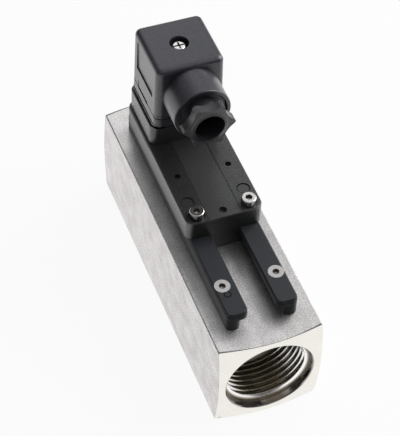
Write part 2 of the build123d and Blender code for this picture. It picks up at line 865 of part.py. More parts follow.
with BuildPart() as terminal_block:
    with BuildSketch(Plane.XY.offset(block_bottom)):
        with Locations((0, plug_middle)):
            RectangleRounded(2 * block_half, 2 * block_half, plug_corner - plug_wall / 2)
            Circle(m3_radius + loose_gap, mode=Mode.SUBTRACT)
    extrude(amount=block_height)
    chamfer(terminal_block.faces().sort_by(Axis.Z)[-1].outer_wire().edges(), plug_seam)
    with BuildSketch(Plane.XY.offset(block_bottom)):
        with Locations(*on_contacts(contact_middle)):
            Rectangle(contact_depth, contact_width)
    extrude(amount=contact_top - block_bottom, mode=Mode.SUBTRACT)
    with BuildSketch(Plane.XY.offset(contact_top)):
        with Locations(*on_contacts(terminal_screw_circle)):
            Circle(terminal_shank + slide_gap)
    extrude(amount=block_height, mode=Mode.SUBTRACT)
save(terminal_block, "terminal_block")

with BuildPart() as socket_contacts:
    with BuildSketch(Plane.XY.offset(contact_bottom)):
        with Locations(*on_contacts(contact_middle)):
            Rectangle(contact_depth, contact_width)
    extrude(amount=contact_height)
    with BuildSketch(Plane.XY.offset(contact_bottom)):
        with Locations(*on_contacts(blade_offset)):
            Rectangle(blade_thickness + 2 * blade_gap, blade_width + 2 * blade_gap)
    extrude(amount=blade_top - contact_bottom + loose_gap, mode=Mode.SUBTRACT)
    with BuildSketch(Plane.XY.offset(contact_top)):
        with Locations(*on_contacts(terminal_screw_circle)):
            Circle(terminal_shank)
    extrude(amount=-terminal_length, mode=Mode.SUBTRACT)
save(socket_contacts, "socket_contacts")

with BuildPart() as terminal_screws:
    with BuildSketch(Plane.XY.offset(block_top)):
        with Locations(*on_contacts(terminal_screw_circle)):
            Circle(terminal_head_radius)
    extrude(amount=terminal_head)
    with BuildSketch(Plane.XY.offset(block_top + terminal_head)):
        with Locations(*on_contacts(terminal_screw_circle)):
            Rectangle(2 * terminal_head_radius, terminal_slot)
    extrude(amount=-terminal_slot, mode=Mode.SUBTRACT)
    with BuildSketch(Plane.XY.offset(block_top)):
        with Locations(*on_contacts(terminal_screw_circle)):
            Circle(terminal_shank - thread_gap)
    extrude(amount=-(terminal_length * 0.8))
save(terminal_screws, "terminal_screws")

# Fixing screw down the middle of the plug, with the seal under its head
with BuildPart() as fixing_screw:
    with BuildSketch(Plane.XY.offset(head_bottom)):
        with Locations((0, plug_middle)):
            Circle(fixing_head_radius)
    extrude(amount=fixing_head)
    fillet(fixing_screw.edges().group_by(Axis.Z)[-1], fixing_head_round)
    with BuildSketch(Plane.XY.offset(head_top)):
        with Locations((0, plug_middle)):
            Rectangle(2 * fixing_head_radius, fixing_slot)
            Rectangle(fixing_slot, fixing_head_radius * 1.3)
    extrude(amount=-fixing_head / 2, mode=Mode.SUBTRACT)
    with BuildSketch(Plane.XY.offset(head_bottom)):
        with Locations((0, plug_middle)):
            Circle(m3_radius)
    extrude(amount=-fixing_length)
    chamfer(fixing_screw.edges().group_by(Axis.Z)[0], m3_radius / 4)
save(fixing_screw, "fixing_screw")

with BuildPart() as screw_seal:
    with BuildSketch(Plane.XY.offset(recess_floor)):
        with Locations((0, plug_middle)):
            Circle(seal_radius)
            Circle(m3_radius + shaft_gap, mode=Mode.SUBTRACT)
    extrude(amount=seal_thickness)
    fillet(screw_seal.faces().sort_by(Axis.Z)[-1].outer_wire().edges(), seal_thickness / 3)
save(screw_seal, "screw_seal")

# Clamp screws and washers, one pair on each side
for (spot_x, spot_y), hand in zip(clamp_spots, ("left", "right")):
    with BuildPart() as clamp_washer:
        with BuildSketch(Plane.XY.offset(washer_bottom)):
            with Locations((spot_x, spot_y)):
                Circle(washer_radius)
                Circle(m3_radius + slide_gap, mode=Mode.SUBTRACT)
        extrude(amount=washer_thickness)
    save(clamp_washer, f"clamp_washer_{hand}")

    cap_bottom = washer_bottom + washer_thickness
    with BuildPart() as clamp_screw:
        with BuildSketch(Plane.XY.offset(cap_bottom)):
            with Locations((spot_x, spot_y)):
                Circle(cap_head_radius)
        extrude(amount=cap_head_height)
        fillet(clamp_screw.edges().group_by(Axis.Z)[-1], cap_head_edge)
        with BuildSketch(Plane.XY.offset(cap_bottom + cap_head_height)):
            with Locations((spot_x, spot_y)):
                RegularPolygon(cap_socket / 2, 6, major_radius=False)
        extrude(amount=-cap_socket_depth, mode=Mode.SUBTRACT)
        with BuildSketch(Plane.XY.offset(cap_bottom)):
            with Locations((spot_x, spot_y)):
                Circle(m3_radius)
        extrude(amount=-clamp_length)
        chamfer(clamp_screw.edges().group_by(Axis.Z)[0], m3_radius / 4)
    save(clamp_screw, f"clamp_screw_{hand}")

# Cable gland: rubber grommet, thrust washer and nut, from the inside out
washer_back = nut_end + gland_washer
with BuildPart() as gland_grommet:
    with BuildSketch(gland_section):
        Polygon(
            (washer_back, grommet_hole_radius),
            (washer_back, gland_ring_radius),
            (barrel_floor - grommet_taper, gland_ring_radius),
            (barrel_floor, gland_ring_radius - grommet_taper),
            (barrel_floor, grommet_hole_radius),
            align=None,
        )
    revolve(axis=gland_axis)
save(gland_grommet, "gland_grommet")

with BuildPart() as thrust_washer:
    with BuildSketch(gland_across.offset(nut_end)):
        Circle(gland_ring_radius)
        Circle(nut_bore_radius, mode=Mode.SUBTRACT)
    extrude(amount=gland_washer)
save(thrust_washer, "thrust_washer")

nut_flat = nut_hex / 2
nut_corner = nut_hex / sqrt(3)
with BuildPart() as gland_nut:
    with BuildSketch(gland_across.offset(nut_front)):
        RegularPolygon(nut_flat, 6, major_radius=False)
        with PolarLocations(nut_flat + nut_flute_radius - nut_flute, 6, start_angle=30):
            Circle(nut_flute_radius, mode=Mode.SUBTRACT)
    extrude(amount=nut_reach - nut_gap)
    with BuildSketch(gland_across.offset(nut_front)):
        Circle(nut_neck_radius)
    extrude(amount=nut_end - nut_front)
    with BuildSketch(gland_across.offset(nut_end - nut_thread_length)):
        Circle(barrel_thread_radius - shaft_gap)
    extrude(amount=nut_thread_length)
    with BuildSketch(gland_section):
        Polygon(
            (nut_front, nut_bore_radius),
            (nut_front + nut_lip, nut_lip_radius),
            (nut_front + nut_lip, nut_corner + nut_lip),
            (nut_front - nut_lip, nut_corner + nut_lip),
            (nut_front - nut_lip, nut_bore_radius),
            align=None,
        )
    revolve(axis=gland_axis, mode=Mode.SUBTRACT)
    with BuildSketch(gland_across.offset(nut_front)):
        Circle(nut_bore_radius)
    extrude(amount=nut_end - nut_front, mode=Mode.SUBTRACT)
save(gland_nut, "gland_nut")
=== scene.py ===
"""Looks of the variable area flow switch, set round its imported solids.

It models the port threads, the knurls of the clamp screws and the coil of the return spring, gives
every piece its finish, and adds a white floor, a sky, two lamps and the photograph's camera.
"""

import json
import math

import bpy
from mathutils import Matrix, Vector


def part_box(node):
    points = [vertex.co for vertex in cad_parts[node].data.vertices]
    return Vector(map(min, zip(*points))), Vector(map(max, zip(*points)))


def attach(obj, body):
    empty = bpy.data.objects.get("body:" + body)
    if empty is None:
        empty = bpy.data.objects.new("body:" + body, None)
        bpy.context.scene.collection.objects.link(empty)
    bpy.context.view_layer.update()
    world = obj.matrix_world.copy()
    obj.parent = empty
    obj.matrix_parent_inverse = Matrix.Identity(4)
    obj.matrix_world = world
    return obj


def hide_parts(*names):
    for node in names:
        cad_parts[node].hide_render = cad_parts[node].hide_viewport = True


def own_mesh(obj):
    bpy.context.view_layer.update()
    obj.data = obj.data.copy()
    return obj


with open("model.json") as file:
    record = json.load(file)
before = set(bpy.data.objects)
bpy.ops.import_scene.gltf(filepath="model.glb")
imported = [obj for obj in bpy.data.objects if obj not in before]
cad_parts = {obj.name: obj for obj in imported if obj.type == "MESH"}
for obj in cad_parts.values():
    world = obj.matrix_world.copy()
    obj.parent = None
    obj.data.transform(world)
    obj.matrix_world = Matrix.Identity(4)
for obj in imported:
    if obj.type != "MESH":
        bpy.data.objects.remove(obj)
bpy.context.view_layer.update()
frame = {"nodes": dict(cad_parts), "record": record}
mm = 0.001

# Places and sizes that the shapes and patterns share with the solids, in millimetres
bore_height = 20.0
bore_relief = 17.2
port_wall = 16.62
half_length = 65.0
end_radius = 19.75
cone_slope = math.tan(math.radians(15))
port_thread_start = 62.3
port_thread_end = 45.4
thread_pitch = 2.309
thread_depth = 1.479
spring_wire = 0.45
spring_radius = 3.75
spring_turns = 7
rail_screw_place = (10.4, 40.4)
clamp_screw_place = (10.2, 13)
fixing_screw_place = (0, 35.75)

# How the details that the solids lack are shaped, in millimetres, turns and wires
thread_flank = math.radians(27.5)
thread_in_wall = 0.1
thread_rounding = 1.35
thread_lead_in = 0.45
thread_lead_out = 0.6
thread_steps_per_turn = 96
coil_steps_per_turn = 40
closed_turn_wires = 2.05
knurl_ridges = 30
knurl_size = 0.22
knurl_length = 2.2
knurl_drop = 0.45


def top_of(node):
    """Height of a solid's top, in millimetres."""
    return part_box(node)[1].z / mm


def front_of(node):
    """Place along the pipe of a solid's inlet-facing side, in millimetres."""
    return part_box(node)[0].y / mm


# Camera, at the photograph's angle

def set_camera(azimuth, elevation, roll, distance, target, lens):
    """Place the camera on a sphere round its target, turned by roll about its own line of sight."""
    a, e, r = (math.radians(angle) for angle in (azimuth, elevation, roll))
    back = Vector((math.sin(a) * math.cos(e), -math.cos(a) * math.cos(e), math.sin(e)))
    level = Vector((math.cos(a), math.sin(a), 0))
    upright = back.cross(level)
    right = level * math.cos(r) + upright * math.sin(r)
    top = upright * math.cos(r) - level * math.sin(r)
    camera = bpy.data.objects.new("camera", bpy.data.cameras.new("camera"))
    bpy.context.collection.objects.link(camera)
    turned = Matrix((right, top, back)).transposed().to_4x4()
    camera.matrix_world = Matrix.Translation(Vector(target) + back * distance) @ turned
    camera.data.lens = lens
    camera.data.clip_start = 0.01
    bpy.context.scene.camera = camera


set_camera(
    azimuth=-22.64, elevation=48.34, roll=2.71, distance=0.62049, target=(-0.00339, 0, 0.039),
    lens=135.62)


# Node arithmetic and finishes

class Amount:
    """A number that changes over a surface, so that a pattern is written as arithmetic."""

    def __init__(self, finish, socket):
        self.finish = finish
        self.socket = socket

    def work(self, operation, *values):
        return self.finish.node("Math", {"operation": operation}, dict(enumerate(values)))

    def __add__(self, other):
        return self.work("ADD", self, other)

    def __radd__(self, other):
        return self.work("ADD", other, self)

    def __sub__(self, other):
        return self.work("SUBTRACT", self, other)

    def __rsub__(self, other):
        return self.work("SUBTRACT", other, self)

    def __mul__(self, other):
        return self.work("MULTIPLY", self, other)

    def __pow__(self, other):
        return self.work("POWER", self, other)

    def __abs__(self):
        return self.work("ABSOLUTE", self)

    def __lt__(self, other):
        return self.work("LESS_THAN", self, other)

    def __gt__(self, other):
        return self.work("GREATER_THAN", self, other)

    def at_least(self, least):
        return self.work("MAXIMUM", self, least)

    def wave(self):
        return self.work("SINE", self)

    def near(self, middle, reach):
        """1 within that reach of the middle, and 0 outside it."""
        return abs(self - middle) < reach

    def between(self, start, end):
        """Change smoothly from 0 at start to 1 at end."""
        sockets = {"Value": self, "From Min": start, "From Max": end}
        return self.finish.node("MapRange", {"interpolation_type": "SMOOTHSTEP"}, sockets)


class Finish:
    """A surface finish: the nodes of one material, or of the world."""

    def __init__(self, name):
        self.material = bpy.data.materials.new(name)
        self.material.use_nodes = True
        self.tree = self.material.node_tree
        self.tree.nodes.clear()

    def node(self, kind, settings=None, sockets=None, out=0):
        """Add a node, with its settings first and then the values or links of its sockets."""
        made = self.tree.nodes.new("ShaderNode" + kind)
        for name, value in (settings or {}).items():
            setattr(made, name, value)
        for name, value in (sockets or {}).items():
            if isinstance(value, Amount):
                self.tree.links.new(value.socket, made.inputs[name])
            else:
                made.inputs[name].default_value = value
        return Amount(self, made.outputs[out] if made.outputs else None)

    def place(self):
        """The point on the piece, in millimetres."""
        return self.stretch(self.node("TexCoord", out="Object"), (1 / mm, 1 / mm, 1 / mm))

    def split(self, vector):
        """The three coordinates of a vector."""
        return [self.node("SeparateXYZ", None, {0: vector}, out) for out in range(3)]

    def normal(self):
        """How far the surface faces across the pipe, along it and up, each from -1 to 1."""
        return self.split(self.node("NewGeometry", out="Normal"))

    def noise(self, point, scale, detail=2.0, rough=0.5):
        """Cloudy noise from 0 to 1, with features about 1 / scale millimetres wide."""
        sockets = {"Vector": point, "Scale": scale, "Detail": detail, "Roughness": rough}
        return self.node("TexNoise", None, sockets)

    def grain(self, point, scale):
        """Noise with finer detail, for the grain of a surface."""
        return self.noise(point, scale, 3, 0.6)

    def stretch(self, point, factors):
        """The point with each coordinate times its factor. A low factor draws a pattern out."""
        return self.node("Mapping", None, {"Vector": point, "Scale": factors})

    def colours(self, amount, first, second):
        """First colour where amount is 0, second where it is 1."""
        sockets = {"Factor": amount, 6: first, 7: second}
        return self.node("Mix", {"data_type": "RGBA"}, sockets, 2)

    def bump(self, height, depth, strength):
        """Relief from a height of 0 to 1, depth in millimetres."""
        sockets = {"Height": height, "Distance": depth * mm, "Strength": strength}
        return self.node("Bump", None, sockets)

    def surface(self, shade=None, **sockets):
        """Close the material with its shader, black where shade is 1.

        Underscores in a socket's name stand for spaces.
        """
        named = {name.replace("_", " "): value for name, value in sockets.items()}
        shader = self.node("BsdfPrincipled", None, named)
        if shade:
            black = self.node("BsdfDiffuse", None, {"Color": grey(0.003)})
            shader = self.node("MixShader", None, {0: shade, 1: shader, 2: black})
        self.node("OutputMaterial", None, {"Surface": shader})
        return self.material


def grey(level, warm=0.0):
    """A colour of that level, warmer or, below 0, bluer by that share."""
    return (level * (1 + warm), level, level * (1 - warm), 1)


def off_centre(first, second):
    """How far a point is from a centre, from its two offsets."""
    return (first * first + second * second) ** 0.5


def bar_metal():
    """Drawn and nickelled bar: mottled satin sides, bright turned ends and bored ports."""
    f = Finish("bar_metal")
    point = f.place()
    x, y, z = f.split(point)
    across, along, up = f.normal()
    radius = off_centre(x, z - bore_height)
    turned = abs(along).between(0.6, 0.8)
    bored = radius.between(bore_relief + 0.2, bore_relief)
    machined = turned + bored - turned * bored
    on_top = up > 0.9
    mottle = f.grain(point, 1.7)
    cloud = f.noise(point, 0.16)
    smear = f.grain(f.stretch(point, (0.5, 0.1, 0.5)), 0.9)

    # Painted light: the top drawn lighter to the left of the rails and darker to their right
    painted_side_light = (x.between(-8, -17) * 0.3 - x.between(9, 17) * 0.28) * on_top
    drawn = (mottle - 0.5) * 2.6 + (cloud - 0.5) * 0.9 + (smear - 0.5) * 0.6 + 0.45 + painted_side_light
    satin = f.colours(drawn, (0.57, 0.545, 0.540, 1), (1.0, 0.975, 0.965, 1))

    # A thin line of painted shade where the turned ends begin, wider towards the corners of the top
    cone = half_length - (radius - end_radius).at_least(0.0) * cone_slope
    to_cone = cone - abs(y)
    edge_shade_on_top = (to_cone < (x * x) * 0.0014 + 0.2) * on_top
    edge_shade_on_side = (to_cone < z * 0.006) * (abs(across) > 0.9)
    satin = f.colours((edge_shade_on_top + edge_shade_on_side) * 0.8, satin, (0.05, 0.045, 0.035, 1))

    # Bright ends, with a small dark spot near the inlet end's lower corner
    bright = f.colours(cloud, (0.87, 0.84, 0.785, 1), (0.95, 0.925, 0.875, 1))
    dark_spot_x, dark_spot_z, dark_spot_stretch = -18.2, 1.0, 1.8
    from_dark_spot = off_centre(x - dark_spot_x, (z - dark_spot_z) * dark_spot_stretch)
    dark_spot = from_dark_spot.between(0.8, 0.3) * (y < 0) * 0.85
    bright = f.colours(dark_spot, bright, (0.22, 0.2, 0.17, 1))

    # Bores: dull thread roots in painted shade, bright crests that darken deeper in with painted
    # shade, and a dark relief
    root_shade = f.colours(cloud, (0.24, 0.205, 0.16, 1), (0.32, 0.28, 0.22, 1))
    deep_shade = abs(x).between(14, 6) * abs(y).between(61.5, 59.5)
    crest = f.colours(deep_shade, grey(0.95, 0.02), (0.40, 0.36, 0.28, 1))
    crest_radius = 15.7
    on_crest = radius.between(16.4, crest_radius)
    threaded = f.colours(on_crest, root_shade, crest)
    mouth = (abs(y) > port_thread_start + 0.1) * (radius > port_wall + 0.1)
    bore = f.colours(mouth, threaded, (0.40, 0.37, 0.365, 1))
    dull = bored * (1 - on_crest) * (1 - mouth) * 0.5

    turning_marks = (radius * 14).wave() * 0.5 + 0.5
    height = mottle * (1 - machined) + turning_marks * turned * 0.12
    return f.surface(
        Base_Color=f.colours(bored, f.colours(turned, satin, bright), bore),
        Metallic=1 - dull,
        Roughness=0.42 + (mottle - 0.5) * 0.3 - machined * 0.17 - bored * 0.1,
        Normal=f.bump(height, 0.025, 0.6))


def plain_metal(name, dark, light, roughness, relief=0.004, warm=0.01):
    """Machined or drawn metal with a fine uneven grain."""
    f = Finish(name)
    point = f.place()
    grain = f.grain(point, 2.4)
    cloud = f.noise(point, 0.5)
    colour = f.colours((grain + cloud) * 0.5, grey(dark, warm), grey(light, warm))
    return f.surface(
        Base_Color=colour, Metallic=1.0, Roughness=roughness + (grain - 0.5) * 0.15,
        Normal=f.bump(grain, relief, 0.5))


def screw_steel(
        name, place, head_top, socket_radius, ring_height=0.1, side_shade=0.0, ring_reflection=0.0,
        socket_floor=0.9):
    """Bright screw head at a place in |x| and |y|, with turned rings and a socket dark with oil and
    painted shade.

    Of the last three values, the first paints shade on the head's side, the second paints a dark
    reflection as a ring on its top, and the third is how light the bottom of its socket is.
    """
    f = Finish(name)
    point = f.place()
    x, y, z = f.split(point)
    up = f.normal()[2]
    radius = off_centre(abs(x) - place[0], abs(y) - place[1])
    grain = f.grain(point, 2.4)
    steel = f.colours(grain, grey(0.80, 0.015), grey(0.97, 0.015))
    # Painted shade on the head's side
    side = 1 - abs(up).between(0.3, 0.6)
    steel = f.colours(side * side_shade, steel, grey(0.10, 0.02))
    # A painted dark reflection, as a ring on the top
    reflection_ring_radius = 2.05
    painted_reflection_ring = radius.near(reflection_ring_radius, 0.28) * ring_reflection
    steel = f.colours(painted_reflection_ring, steel, grey(0.06, 0.02))
    # The socket dark with oil and painted shade, paler on its floor
    sunk = (radius < socket_radius) * (z < head_top - 0.12)
    middle = radius.between(1.1, 0.5) * up.between(0.2, 0.6)
    socket = f.colours(middle, (0.10, 0.072, 0.056, 1), grey(socket_floor, 0.08))
    rings = (radius * 9).wave() * 0.5 + 0.5
    height = rings * abs(up).between(0.8, 0.95) * ring_height
    return f.surface(
        Base_Color=f.colours(sunk, steel, socket), Metallic=1 - sunk,
        Roughness=0.22 + sunk * 0.3 + (grain - 0.5) * 0.1, Normal=f.bump(height, 0.05, 0.6))


def rail_metal():
    """Blue-black anodised rails, with the small ring mark in front of the left rail's screw in
    relief and painted shade, and painted shade on their inlet-facing ends.
    """
    f = Finish("rail_metal")
    point = f.place()
    x, y = f.split(point)[:2]
    across, along = f.normal()[:2]
    grain = f.grain(point, 3.0)
    cloud = f.noise(point, 0.2)
    colour = f.colours(
        grain * 0.5 + cloud * 0.5, (0.011, 0.013, 0.017, 1), (0.022, 0.025, 0.031, 1))
    # The ring mark: a groove in relief, drawn dark with painted shade
    mark_x, mark_y = -10.0, -44.6
    from_mark = off_centre(x - mark_x, y - mark_y)
    mark = from_mark.between(0.85, 1.1) * from_mark.between(1.6, 1.35)
    # Painted shade on the ends that face the inlet
    inlet_face_shade = along < -0.5
    return f.surface(
        mark * 0.7 + inlet_face_shade * 0.4, Base_Color=colour, Roughness=0.5 + (grain - 0.5) * 0.2,
        Coat_Weight=abs(across) * 0.35, Coat_Roughness=0.35,
        Normal=f.bump(grain * 0.4 - mark * 2, 0.03, 0.5))


def moulded_plastic(
        name, marks=None, dark=0.016, light=0.032, relief=0.03, patchy=2.2,
        tint=(0.98, 1.0, 1.18)):
    """Black moulded plastic with a leathery grain, glossier in patches.

    Marks is a function of x, y and z in millimetres that gives the piece's painted shade, its
    relief and its paler places.
    """
    f = Finish(name)
    point = f.place()
    grain = f.grain(point, 1.4)
    cloud = f.noise(point, 0.25, 3)
    painted_shade, ridge, paler = marks(*f.split(point)) if marks else (None, 0, 0)
    deep, pale = ([level * part for part in tint] + [1] for level in (dark, light))
    return f.surface(
        painted_shade, Base_Color=f.colours(grain * 0.6 + cloud * 0.4 + paler, deep, pale),
        Roughness=0.42 + (grain - 0.5) * 0.25, IOR=1.5,
        Coat_Weight=0.88 + (grain - 0.5) * patchy, Coat_IOR=1.53, Coat_Roughness=0.32,
        Normal=f.bump(grain * relief + ridge, 1.0, 0.8))


def plug_marks(x, y, z):
    """Painted shade in the catch and its notch, over the foot and on bands of the ridges on the
    left, and on the front wall; and the ridges' relief.
    """
    foot_height, catch_height, corner_height = 68.9, 72.7, 74.4
    left = x < -10
    # Painted shade in the catch, its notch, over the foot, on bands of the ridges and on the front
    # wall
    catch_shade = z.near(catch_height, 0.7) * y.near(37.0, 5.0)
    notch_shade = y.near(42.0, 0.45) * z.near(corner_height, 1.5) * 0.7
    foot_shadow = (z < foot_height) * 0.9
    ridges = (z * 5.2).wave() * left * (y < 25.2) * (z < corner_height)
    front_wall_shade = y.between(23.5, 22.5) * (y > 21.9) * 0.22
    return left * (catch_shade + notch_shade + foot_shadow) + (ridges > 0.5) * 0.35 + front_wall_shade, ridges * 0.12, 0


def nut_marks(x, y, z):
    """The gland nut a little darker all over, and painted shade on its inlet end."""
    return 0.12 + (y < front_of("gland_nut") + 0.3) * 0.28, 0, 0


def housing_marks(x, y, z):
    """Painted shade: the deck's edge shadow, a line at the paler middle strip's edge, the plug's
    shadow on the deck left of the strip, rings round the moulding marks and the front wall.
    """
    deck_low, deck_high = 56, 57
    strip_half_width = 6.4
    mark_x, mark_y, mark_radius = 11, -5.8, 2.4
    on_deck = (z > deck_low) * (z < deck_high)
    # Painted shade along the deck's edge, at the strip's edge and, as the plug's shadow, left of
    # the strip
    edge = z.near(55.8, 0.28) * (x < -14) * y.between(22, 27)
    strip_edge_shade = x.near(-strip_half_width, 0.14) * on_deck * 0.4
    plug_shadow_left_of_strip = (x < -strip_half_width) * on_deck * 0.14
    # Painted shade in rings round the moulding marks, deeper on the right
    from_mark = off_centre(abs(x) - mark_x, y - mark_y)
    mark_ring_shade = from_mark.near(mark_radius, 0.2) * (z > deck_low) * (0.35 + (x > 0) * 0.45)
    # Painted shade on the front wall
    front = (y < front_of("switch_housing") + 0.4) * (z < 55.6) * 0.35
    paler_strip = (abs(x) < strip_half_width) * on_deck * 0.5
    return edge + strip_edge_shade + mark_ring_shade + front + plug_shadow_left_of_strip, 0, paler_strip


def gasket_rubber():
    """Rubber gasket, paler on its rim, with its two grooves drawn black as painted shade."""
    f = Finish("profile_gasket_rubber")
    point = f.place()
    z = f.split(point)[2]
    grain = f.grain(point, 2.0)
    lower_groove, upper_groove = 66.1, 68.2
    groove_shade = z.near(lower_groove, 0.35) + z.near(upper_groove, 0.4)
    return f.surface(
        groove_shade, Base_Color=f.colours(grain, grey(0.09), grey(0.15)), Roughness=0.45,
        Coat_Weight=1.0, Coat_Roughness=0.36, Normal=f.bump(grain, 0.02, 0.5))


def tinted(name, dark, light, roughness, metallic=0.0, relief=0.01):
    """A coloured material that is a little uneven."""
    f = Finish(name)
    grain = f.grain(f.place(), 2.0)
    return f.surface(
        Base_Color=f.colours(grain, dark, light), Metallic=metallic, Roughness=roughness,
        Normal=f.bump(grain, relief, 0.5))


def reed_glass():
    """Clear greenish glass of the reed contact, with faint draw lines."""
    f = Finish("reed_glass")
    lines = f.noise(f.stretch(f.place(), (1, 0.1, 1)), 3.0)
    return f.surface(
        Base_Color=f.colours(lines, (0.72, 0.86, 0.76, 1), (0.82, 0.93, 0.85, 1)),
        Roughness=0.05, Transmission_Weight=0.9, IOR=1.5, Normal=f.bump(lines, 0.01, 0.3))


finishes = {
    "body_metal": bar_metal(),
    "inner_metal": plain_metal("inner_metal", 0.50, 0.66, 0.28),
    "spring_steel": plain_metal("spring_steel", 0.45, 0.62, 0.30),
    "screw_steel": plain_metal("screw_steel", 0.66, 0.82, 0.25, relief=0.006),
    "magnet_metal": plain_metal("magnet_metal", 0.30, 0.42, 0.35),
    "rail_metal": rail_metal(),
    "clamp_metal": plain_metal("clamp_metal", 0.06, 0.10, 0.45),
    "black_plastic": moulded_plastic("black_plastic"),
    "board_laminate": tinted(
        "board_laminate", (0.03, 0.16, 0.07, 1), (0.05, 0.22, 0.10, 1), 0.4),
    "reed_tube_glass": reed_glass(),
    "contact_metal": plain_metal("contact_metal", 0.70, 0.82, 0.25, warm=0.03),
    "wire_sleeve": tinted("wire_sleeve", (0.30, 0.02, 0.02, 1), (0.40, 0.04, 0.03, 1), 0.45),
    "insert_brass": tinted(
        "insert_brass", (0.72, 0.50, 0.22, 1), (0.84, 0.62, 0.30, 1), 0.3, metallic=1.0),
    "gasket_rubber": tinted(
        "gasket_rubber", (0.018, 0.018, 0.019, 1), (0.034, 0.034, 0.035, 1), 0.6, relief=0.02),
}

# Washers drawn dark, as painted shade under the clamp screws' heads
washer_steel_painted_shade = plain_metal("washer_steel_painted_shade", 0.06, 0.14, 0.35)

# Solids that look unlike the rest of their material slot
own_finishes = {
    # The head's top is given 0.2 mm high, so that the socket's painted shade reaches onto the top
    # round the hole
    "rail_screws": screw_steel(
        "rail_screw_steel", rail_screw_place, top_of("rail_screws") + 0.2, socket_radius=1.3),
    "clamp_screw_left": screw_steel(
        "left_screw_steel", clamp_screw_place, top_of("clamp_screw_left"), socket_radius=1.6,
        ring_height=0.5, side_shade=0.9, ring_reflection=0.5),
    "clamp_screw_right": screw_steel(
        "right_screw_steel", clamp_screw_place, top_of("clamp_screw_right"), socket_radius=1.6,
        side_shade=0.7),
    "fixing_screw": screw_steel(
        "fixing_screw_steel", fixing_screw_place, top_of("fixing_screw"), socket_radius=2.4,
        socket_floor=0.31),
    "clamp_washer_left": washer_steel_painted_shade,
    "clamp_washer_right": washer_steel_painted_shade,
    "plug_housing": moulded_plastic(
        "plug_plastic", plug_marks, patchy=1.4, tint=(1.0, 1.0, 1.45)),
    "switch_housing": moulded_plastic(
        "housing_plastic", housing_marks, relief=0.04, patchy=2.4, tint=(1.0, 1.04, 0.98)),
    "gland_nut": moulded_plastic("nut_plastic", nut_marks, dark=0.018, light=0.034),
    # The grommet is drawn paler than rubber is, as painted light in the nut's dark hole
    "gland_grommet": tinted(
        "grommet_rubber_painted_light", (0.10, 0.10, 0.085, 1), (0.15, 0.15, 0.13, 1), 0.6, relief=0.02),
    "profile_gasket": gasket_rubber(),
}

for subpart in frame["record"]["subparts"]:
    node = frame["nodes"][subpart["node"]]
    node.data.materials.clear()
    node.data.materials.append(own_finishes.get(node.name, finishes[subpart["material_slot"]]))


# Shaping by hand

def deselect():
    bpy.ops.object.select_all(action="DESELECT")


def edit_all():
    """Enter edit mode with the whole piece selected."""
    bpy.ops.object.mode_set(mode="EDIT")
    bpy.ops.mesh.select_all(action="SELECT")


def leave_edit():
    bpy.ops.object.mode_set(mode="OBJECT")


def edit_points(piece, wanted):
    """Enter edit mode with just the points selected whose place passes the test."""
    edit_all()
    bpy.ops.mesh.select_mode(type="VERT")
    bpy.ops.mesh.select_all(action="DESELECT")
    leave_edit()
    for point in piece.data.vertices:
        point.select = wanted(point.co)
    bpy.ops.object.mode_set(mode="EDIT")


def wind(piece, turns, rise, steps_per_turn):
    """Wind the piece's outline about Z, so that it becomes a helix of that rise."""
    screw = piece.modifiers.new("winding", "SCREW")
    screw.axis = "Z"
    screw.angle = 2 * math.pi * turns
    screw.screw_offset = rise
    screw.steps = screw.render_steps = round(steps_per_turn * turns)
    bpy.ops.object.modifier_apply(modifier=screw.name)


def close_ends(merged):
    """Join points nearer than merged, close both ends and turn the faces outwards."""
    edit_all()
    bpy.ops.mesh.remove_doubles(threshold=merged)
    bpy.ops.mesh.fill_holes(sides=12)
    bpy.ops.mesh.normals_make_consistent(inside=False)
    leave_edit()


def settle(piece, place, finish):
    """Bring a wound piece to its place in the frame, smooth it and give it its finish."""
    piece.matrix_world = place
    bpy.ops.object.transform_apply(location=True, rotation=True, scale=True)
    bpy.ops.object.shade_smooth_by_angle(angle=math.radians(50))
    piece.data.materials.append(finish)


# Port threads

def ridge_outline(name, crest_height):
    """Draw a thread's ridge as an outline, with its base in the port's wall and a round crest."""
    full_height = thread_pitch / 2 / math.tan(thread_flank) * mm
    cut_off = (full_height - crest_height) / 2
    height = crest_height + cut_off + thread_in_wall * mm
    half_base = height * math.tan(thread_flank)
    even_height = 2 * half_base * math.cos(math.radians(30))
    deselect()
    bpy.ops.mesh.primitive_circle_add(
        vertices=3, radius=half_base / math.cos(math.radians(30)),
        rotation=(math.pi / 2, -math.pi / 2, 0))
    piece = bpy.context.active_object
    piece.name = name
    bpy.ops.object.transform_apply(location=False, rotation=True, scale=False)
    edit_all()
    bpy.ops.transform.resize(value=(height / even_height, 1, 1))
    leave_edit()
    base = max(point.co.x for point in piece.data.vertices)
    edit_all()
    bpy.ops.transform.translate(value=((port_wall + thread_in_wall) * mm - base, 0, 0))
    leave_edit()
    apex = min(point.co.x for point in piece.data.vertices)
    edit_points(piece, lambda place: place.x < apex + 0.01 * mm)
    bpy.ops.mesh.bevel(offset=cut_off * thread_rounding, segments=5, affect="VERTICES")
    leave_edit()
    return piece


